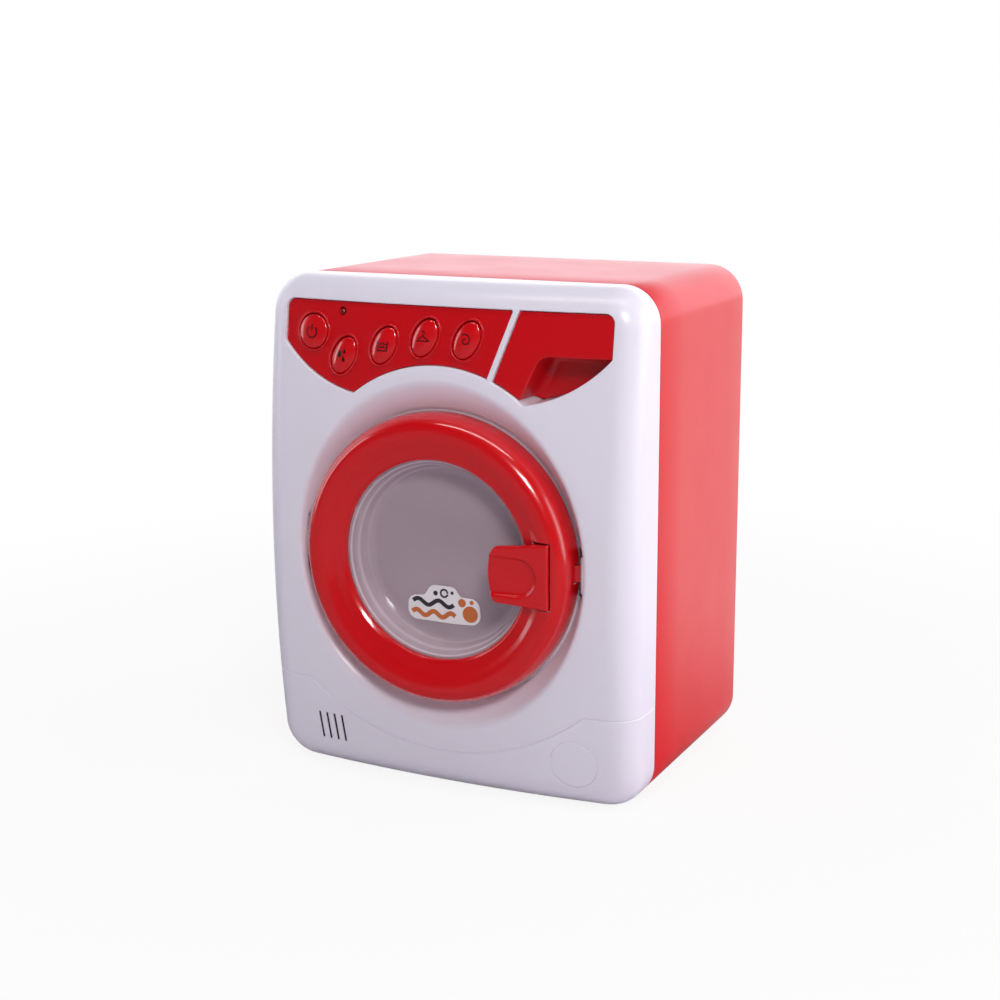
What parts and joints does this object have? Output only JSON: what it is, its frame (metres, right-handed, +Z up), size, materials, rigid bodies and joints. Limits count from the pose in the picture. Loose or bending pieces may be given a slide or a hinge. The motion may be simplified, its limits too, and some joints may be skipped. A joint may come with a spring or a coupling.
{
  "type": "toy washing machine",
  "caption": "Toy front-loading washing machine with a hinged porthole door, sprung latch handle, push buttons, detergent drawer and a geared drum in a two-part case.",
  "frame": {"origin": "middle of the whole object's foot print, on the plane that it stands on", "axes": "+X to the right seen from the front, -Y out of the front with the door, +Z up"},
  "size_m": [0.176, 0.1447, 0.22],
  "materials": {
    "white_abs": "gloss, injection moulded",
    "red_abs": "gloss, injection moulded",
    "dark_red_abs": "semi gloss, injection moulded",
    "clear_pc": "polished clear plastic",
    "sticker": "satin printed film",
    "led_lens": "tinted clear plastic",
    "steel": "zinc plated",
    "board": "solder mask",
    "black_plastic": "fine matte",
    "silicone": "matte rubber",
    "drum_abs": "gloss, injection moulded",
    "gear_pom": "satin acetal",
    "brass": "machined",
    "motor_steel": "plated can",
    "cell_wrap": "printed wrap"
  },
  "bodies": {
    "case": {"front_shell": "white_abs", "rear_housing": "red_abs", "case_screws": "steel", "control_panel": "red_abs", "panel_screws": "steel", "status_led": "led_lens", "circuit_board": "board", "board_parts": "black_plastic", "board_screws": "steel", "power_dome": "silicone", "rinse_dome": "silicone", "wash_dome": "silicone", "clothes_dome": "silicone", "spin_dome": "silicone", "drawer_guide": "white_abs", "hinge_pin": "steel", "door_catch": "white_abs", "drum_bearing": "brass", "gear_frame": "black_plastic", "frame_screws": "steel", "idler_pin": "steel", "motor": "motor_steel", "motor_strap": "black_plastic", "strap_screws": "steel", "battery_box": "black_plastic", "battery_cells": "cell_wrap", "contact_springs": "steel", "contact_plates": "steel", "speaker": "black_plastic", "speaker_retainer": "black_plastic", "speaker_screws": "steel"},
    "door": {"door_ring": "red_abs", "door_window": "clear_pc", "window_sticker": "sticker", "door_back": "dark_red_abs", "door_screws": "steel", "latch_pin": "steel", "latch_spring": "steel"},
    "handle": {"door_handle": "red_abs"},
    "drawer": {"detergent_drawer": "red_abs"},
    "power_button": {"power_button": "red_abs"},
    "rinse_button": {"rinse_button": "red_abs"},
    "wash_button": {"wash_button": "red_abs"},
    "clothes_button": {"clothes_button": "red_abs"},
    "spin_button": {"spin_button": "red_abs"},
    "drum": {"drum": "drum_abs", "drum_rim": "drum_abs", "drum_back_plate": "drum_abs", "drum_lifters": "drum_abs", "drum_shaft": "steel", "drum_gear": "gear_pom"},
    "idler": {"idler_gear": "gear_pom"},
    "pinion": {"motor_pinion": "brass", "motor_shaft": "steel"},
    "battery_lid": {"battery_door": "red_abs", "battery_door_screw": "steel"}
  },
  "joints": [
    {"name": "door_hinge", "type": "hinge", "parent": "case", "child": "door", "pos_m": [-0.072, -0.0575, 0.1038], "axis": [0, 0, -1], "range_deg": [0, 95], "deforming": ["door_catch"]},
    {"name": "handle_squeeze", "type": "hinge", "parent": "door", "child": "handle", "pos_m": [0.0528, -0.0662, 0.1038], "axis": [0, 0, 1], "range_deg": [0, 7], "stiffness_Nm_per_rad": 0.08, "springref_deg": -5.73, "deforming": ["latch_spring"]},
    {"name": "drawer_slide", "type": "slide", "parent": "case", "child": "drawer", "axis": [0, -1, 0], "range_m": [0, 0.03]},
    {"name": "power_press", "type": "slide", "parent": "case", "child": "power_button", "axis": [0.0946, 0.9858, -0.1386], "range_m": [0, 0.0012], "stiffness_N_per_m": 600, "springref_m": -0.0006, "deforming": ["power_dome"]},
    {"name": "rinse_press", "type": "slide", "parent": "case", "child": "rinse_button", "axis": [0.07, 0.9897, -0.1246], "range_m": [0, 0.0012], "stiffness_N_per_m": 600, "springref_m": -0.0006, "deforming": ["rinse_dome"]},
    {"name": "wash_press", "type": "slide", "parent": "case", "child": "wash_button", "axis": [0.0394, 0.9904, -0.1326], "range_m": [0, 0.0012], "stiffness_N_per_m": 600, "springref_m": -0.0006, "deforming": ["wash_dome"]},
    {"name": "clothes_press", "type": "slide", "parent": "case", "child": "clothes_button", "axis": [0.0095, 0.9902, -0.1391], "range_m": [0, 0.0012], "stiffness_N_per_m": 600, "springref_m": -0.0006, "deforming": ["clothes_dome"]},
    {"name": "spin_press", "type": "slide", "parent": "case", "child": "spin_button", "axis": [-0.0205, 0.9901, -0.1391], "range_m": [0, 0.0012], "stiffness_N_per_m": 600, "springref_m": -0.0006, "deforming": ["spin_dome"]},
    {"name": "drum_spin", "type": "hinge", "parent": "case", "child": "drum", "pos_m": [0, -0.007, 0.1038], "axis": [0, 1, 0], "continuous": true},
    {"name": "idler_spin", "type": "hinge", "parent": "case", "child": "idler", "pos_m": [0.014, 0.029, 0.07955], "axis": [0, 1, 0], "continuous": true},
    {"name": "pinion_spin", "type": "hinge", "parent": "case", "child": "pinion", "pos_m": [0.03132, 0.031, 0.06955], "axis": [0, 1, 0], "continuous": true},
    {"name": "battery_lid_lift", "type": "slide", "parent": "case", "child": "battery_lid", "axis": [0, 1, 0], "range_m": [0, 0.012]}
  ],
  "couplings": [
    {"joint": "idler_spin", "follows": "drum_spin", "ratio": -6},
    {"joint": "pinion_spin", "follows": "drum_spin", "ratio": 24}
  ]
}
